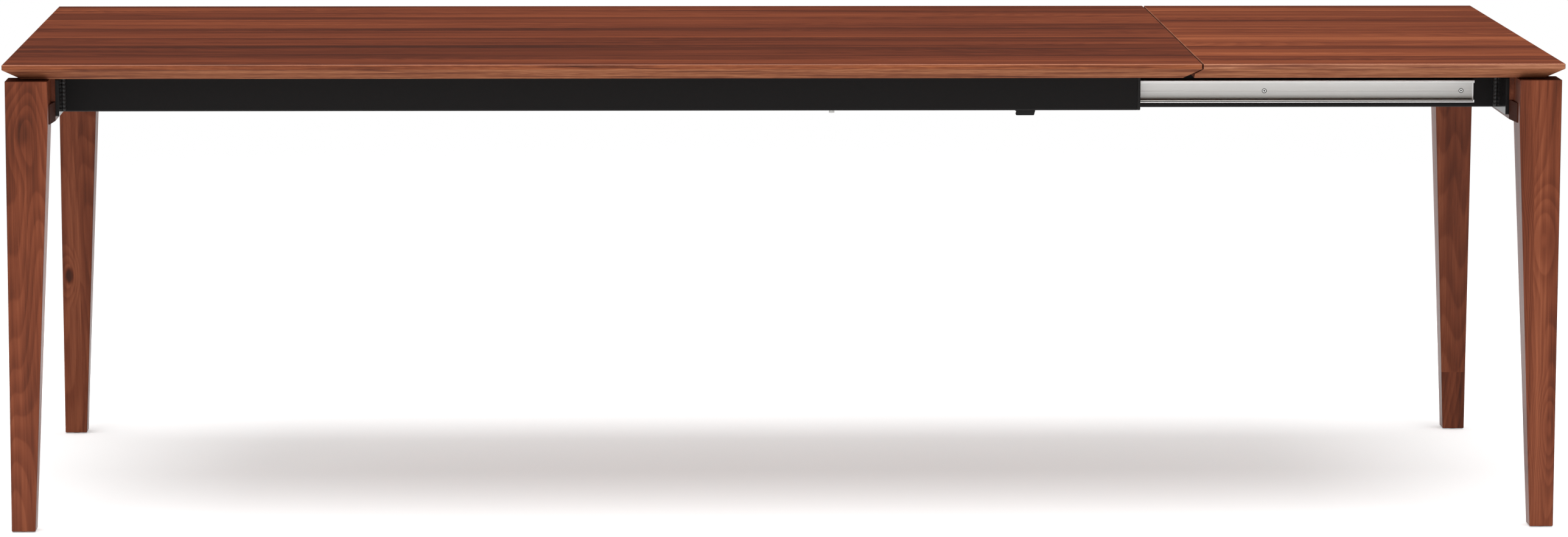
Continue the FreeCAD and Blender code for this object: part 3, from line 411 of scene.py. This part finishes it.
HAUNCH_HEIGHT = 0.0312
RAIL_CUT = (-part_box("left_front_plate")[0].y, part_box("left_end_rail")[0].z + HAUNCH_HEIGHT)
BOARD = {"grain": "x", "tones": BOARD_TONES, "staves": 17.0, "ring_depth": 0.11}
LEG = {"grain": "z", "tones": LEG_TONES}
RAIL = {"grain": "y", "tones": LEG_TONES, "ring_depth": 0.05, "end_depth": 1.0, "cut_end": RAIL_CUT}
materials = {
    # The boards' edge and bevel lifts and tints are painted light.
    "main_top": wood("main top walnut", seed=3.1, tone_shift=0.01, edge_light_lift=0.27,
                     edge_light_tint=(1.18, 1.38, 1.4), bevel_light_lift=0.36, **BOARD),
    "extension_leaf": wood("leaf walnut", seed=8.4, tone_shift=0.14, edge_light_lift=0.33,
                           edge_light_tint=(1.1, 1.52, 2.0), bevel_light_lift=0.24, **BOARD),
    "left_front_leg": wood("left front leg walnut", seed=1.3, tone_shift=0.07, foot_light_lift=0.14,
                           knots=[(-1.211, 0.644, 0.018, 0.25)], **LEG),
    # The rear legs' tone shifts are partly their own tone and partly painted light that lifts them out of
    # the shade under the top.
    "left_rear_leg": wood("left rear leg walnut", seed=4.2, tone_shift=0.29, split_at=("x", -1.205, -0.12),
                          knots=[(-1.2236, 0.282, 0.011, 0.8)], **LEG),
    "right_front_leg": wood("right front leg walnut", seed=6.6, foot_light_lift=0.06, split_at=("x", 1.195, 0.1),
                            knots=[(1.213, 0.475, 0.02, 0.0), (1.216, 0.16, 0.018, 0.0)], **LEG),
    # Partly its own tone and partly painted light against the shade under the top.
    "right_rear_leg": wood("right rear leg walnut", seed=9.7, tone_shift=0.1, split_at=("z", 0.103, 0.1),
                           **LEG),
    "left_end_rail": wood("left end rail walnut", seed=2.9, **RAIL),
    "right_end_rail": wood("right end rail walnut", seed=7.3, **RAIL),
    "runner_screws": socket_screws("socket screw zinc"),
}
plate_finish = speckled("black gloss coat", BLACK_COAT, 0.16, gloss=0.18)
for end in ("left", "right"):
    for piece in ("front_plate", "rear_plate", "plate_bolts"):
        materials[f"{end}_{piece}"] = plate_finish
slot_materials = {
    "black_steel": speckled("black powder coat", BLACK_COAT, 0.45, gloss=0.12),
    "zinc_fixings": speckled("zinc plating", (0.62, 0.62, 0.6), 0.32, metallic=1.0, spread=0.06),
    "runner_aluminium": runner_finish("brushed aluminium", 0.42),
    "black_plastic": speckled("black plastic", (0.011, 0.0105, 0.0105), 0.5, grain=1500.0, gloss=0.2),
    "pale_nylon": speckled("pale nylon", (0.75, 0.74, 0.7), 0.45, spread=0.05),
}
for part in frame["record"]["subparts"]:
    name = part["node"]
    finish = materials.get(name) or slot_materials[part["material_slot"]]
    mesh = nodes[name].data
    mesh.materials.clear()
    mesh.materials.append(finish)


# Weld beads: overlapping ripples up the corners between rails and plates

WELD = speckled("painted weld", (0.0145, 0.0138, 0.0135), 0.36, grain=500.0, gloss=0.3)
BEAD_SIZE = 0.0062
RIPPLE_HEIGHT = 0.0062
RIPPLE_SAG = 0.0018
SLICES_TO_A_RIPPLE = 4
SPOKES = 7


def bead(vertices, faces, corner, along_x, along_y, low, high):
    """One rippled fillet bead added to the lists. along_x and along_y are its signs in the corner."""
    slices = SLICES_TO_A_RIPPLE * round((high - low) / RIPPLE_HEIGHT)
    first = len(vertices)
    for step in range(slices + 1):
        share = step / slices
        beat = (share * (high - low) / RIPPLE_HEIGHT) % 1.0
        swell = 0.82 + 0.18 * math.sin(math.pi * beat) ** 0.6
        height = low + share * (high - low)
        vertices.append((corner[0], corner[1], height))
        for spoke in range(SPOKES):
            angle = math.pi / 2 * spoke / (SPOKES - 1)
            sag = RIPPLE_SAG * math.sin(2 * angle)
            reach = BEAD_SIZE * swell * (0.86 + 0.14 * abs(math.cos(2 * angle)))
            vertices.append((corner[0] + along_x * reach * math.cos(angle),
                             corner[1] + along_y * reach * math.sin(angle),
                             height - sag))
    width = SPOKES + 1
    for step in range(slices):
        for spoke in range(width):
            here = first + step * width + spoke
            beside = first + step * width + (spoke + 1) % width
            faces.append((here, beside, beside + width, here + width))
    faces.append(tuple(first + spoke for spoke in range(width)))
    faces.append(tuple(first + slices * width + spoke for spoke in reversed(range(width))))


def beads(name, rail, along_x, corner_x, node, body):
    """The beads of one end, on both sides of both rails, as one piece in place of the node."""
    vertices, faces = [], []
    low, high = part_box(node)
    for side in ("front", "rear"):
        rail_low, rail_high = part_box(f"{side}_{rail}")
        for face_y, along_y in ((rail_low.y, -1), (rail_high.y, 1)):
            bead(vertices, faces, (corner_x, face_y), along_x, along_y, low.z, high.z)
    mesh = bpy.data.meshes.new(name)
    mesh.from_pydata(vertices, [], faces)
    shape = bmesh.new()
    shape.from_mesh(mesh)
    bmesh.ops.recalc_face_normals(shape, faces=shape.faces)
    shape.to_mesh(mesh)
    shape.free()
    piece = bpy.data.objects.new(name, mesh)
    scene.collection.objects.link(piece)
    for face in mesh.polygons:
        face.use_smooth = True
    mesh.materials.append(WELD)
    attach(piece, body)
    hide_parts(node)


beads("left_weld_beads", "outer_rail", 1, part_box("left_front_plate")[1].x, "left_welds", "fixed_frame")
beads("right_weld_beads", "inner_rail", -1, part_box("right_front_plate")[0].x, "right_welds", "end_frame")


# Floor, light and camera

FLOOR_REACH = 9.0
FLOOR_FADE = (5.0, 1.9)
FLOOR_LIFT = 0.35
GROUND = (0.95, 0.95, 0.95)
DIM_BAND = (0.03, 0.03, 0.03)
DOME = (1.0, 1.0, 1.0)
CAMERA_PLACE = (-0.3125, -9.5743, 1.687)
CAMERA_TURN = math.radians(-1.9465)
CAMERA_DOWN = math.radians(7.9213)
CAMERA_ROLL = math.radians(0.1434)


def stage_floor():
    """A pale floor that fades into the white round it. Its lift lightens the shadow that is seen on it.

    It is seen only from above, so that a view from below shows the underside of the table.
    """
    mesh = bpy.data.meshes.new("floor")
    signs = ((-1, -1), (1, -1), (1, 1), (-1, 1))
    mesh.from_pydata([(x * FLOOR_REACH, y * FLOOR_REACH, 0) for x, y in signs], [], [(0, 1, 2, 3)])
    floor = bpy.data.objects.new("floor", mesh)
    scene.collection.objects.link(floor)
    s = Shader("pale floor")
    place = s.position()
    tint = s.noise(place, (3.0, 3.0, 3.0))
    s.look("Base Color", s.ramp(tint, [(0.0, (0.9, 0.9, 0.9)), (1.0, (0.93, 0.93, 0.93))]))
    s.look("Roughness", 0.9)
    s.look("Specular IOR Level", 0.1)
    s.look("Emission Color", (1.0, 1.0, 1.0, 1.0))
    s.look("Emission Strength", s.math("MULTIPLY", s.seen("Camera", "Glossy", "Transmission"), FLOOR_LIFT))
    away = s.add("VectorMath", {0: place}, operation="LENGTH").outputs["Value"]
    below = s.math("MULTIPLY", s.add("NewGeometry").outputs["Backfacing"], s.seen("Camera"))
    s.look("Alpha", s.math("SUBTRACT", s.between(away, *FLOOR_FADE), below))
    mesh.materials.append(s.material)


def soft_light(name, place, aim, width, height, power, mirrored=True):
    """A soft box. One that isn't mirrored lights without showing in glossy surfaces."""
    lamp = bpy.data.lights.new(name, "AREA")
    lamp.shape = "RECTANGLE"
    lamp.size = width
    lamp.size_y = height
    lamp.energy = power
    item = bpy.data.objects.new(name, lamp)
    item.location = place
    item.visible_glossy = mirrored
    item.rotation_euler = (Vector(aim) - Vector(place)).to_track_quat("-Z", "Y").to_euler()
    scene.collection.objects.link(item)


def studio():
    """White to the camera. For light, a white dome and ground with a dim band along the horizon.

    The front lamp isn't mirrored, so that the top keeps its colour when it is seen from behind.
    """
    world = bpy.data.worlds.new("studio")
    world.use_nodes = True
    scene.world = world
    n = Nodes(world.node_tree)
    direction = n.add("TexCoord").outputs["Generated"]
    height = n.math("MULTIPLY_ADD", n.split(direction)[2], 0.5, 0.5)
    level = n.ramp(height, [(0.48, GROUND), (0.495, DIM_BAND), (0.72, DIM_BAND), (0.92, DOME)])
    background = n.tree.nodes["Background"]
    n.put(background.inputs["Color"], (1.0, 1.0, 1.0, 1.0))
    n.put(background.inputs["Strength"], n.math("MAXIMUM", level, n.seen("Camera", "Transmission")))
    soft_light("overhead", (0.0, -0.8, 4.2), (0.0, 0.0, 0.7), 6.0, 4.0, 215.0)
    soft_light("front", (-1.0, -6.5, 2.6), (0.0, 0.0, 0.5), 7.0, 3.5, 180.0, mirrored=False)


def camera():
    """A long lens from the front, a little above the top."""
    lens = bpy.data.cameras.new("camera")
    lens.sensor_width = 36.0
    lens.lens = 132.2
    lens.clip_end = 200.0
    item = bpy.data.objects.new("camera", lens)
    turn = (Matrix.Rotation(CAMERA_TURN, 4, "Z")
            @ Matrix.Rotation(math.pi / 2 - CAMERA_DOWN, 4, "X")
            @ Matrix.Rotation(CAMERA_ROLL, 4, "Z"))
    item.matrix_world = Matrix.Translation(CAMERA_PLACE) @ turn
    scene.collection.objects.link(item)
    scene.camera = item


stage_floor()
studio()
camera()
scene.view_settings.view_transform = "Standard"
